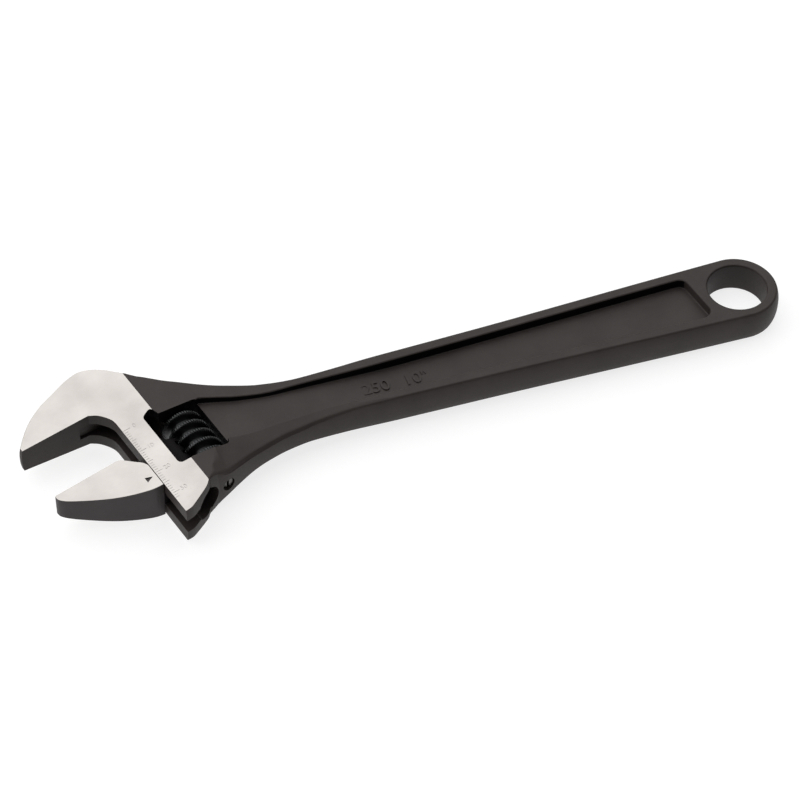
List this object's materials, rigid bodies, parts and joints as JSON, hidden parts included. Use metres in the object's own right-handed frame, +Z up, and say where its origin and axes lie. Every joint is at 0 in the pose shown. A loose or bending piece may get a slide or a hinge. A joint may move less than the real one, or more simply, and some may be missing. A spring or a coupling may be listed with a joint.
{
  "type": "adjustable wrench",
  "caption": "Adjustable wrench: I-section handle with a hanging hole, angled fixed jaw, and a sliding jaw on a toothed bar driven by a thumb knurl.",
  "frame": {"origin": "centre of the bounding box, on the plane the tool lies on", "axes": "+X from the jaws to the hanging hole along the handle, +Z up out of the face that carries the scale, +Y towards the fixed jaw's back"},
  "size_m": [0.2562, 0.0672, 0.0168],
  "materials": {
    "forged_black": "black phosphated forging, jaw faces ground bright",
    "ground_steel": "ground steel, edges left black",
    "black_oxide": "black oxide, serrated crests rubbed bright",
    "bright_steel": "plain machined",
    "spring_steel": "drawn wire"
  },
  "bodies": {
    "frame": {"body": "forged_black", "knurl_pin": "bright_steel", "knurl_spring": "spring_steel"},
    "jaw": {"movable_jaw": "ground_steel"},
    "worm": {"knurl": "black_oxide"}
  },
  "joints": [
    {"name": "knurl_spin", "type": "hinge", "parent": "frame", "child": "worm", "pos_m": [-0.07395, -0.00164, 0.00842], "axis": [0.2453, -0.9694, 0], "range_deg": [-1743, 847]},
    {"name": "jaw_slide", "type": "slide", "parent": "frame", "child": "jaw", "axis": [0.2453, -0.9694, 0], "range_m": [-0.0208, 0.0101]}
  ],
  "couplings": [
    {"joint": "knurl_spin", "follows": "jaw_slide", "rad_per_m": 1461.2}
  ]
}
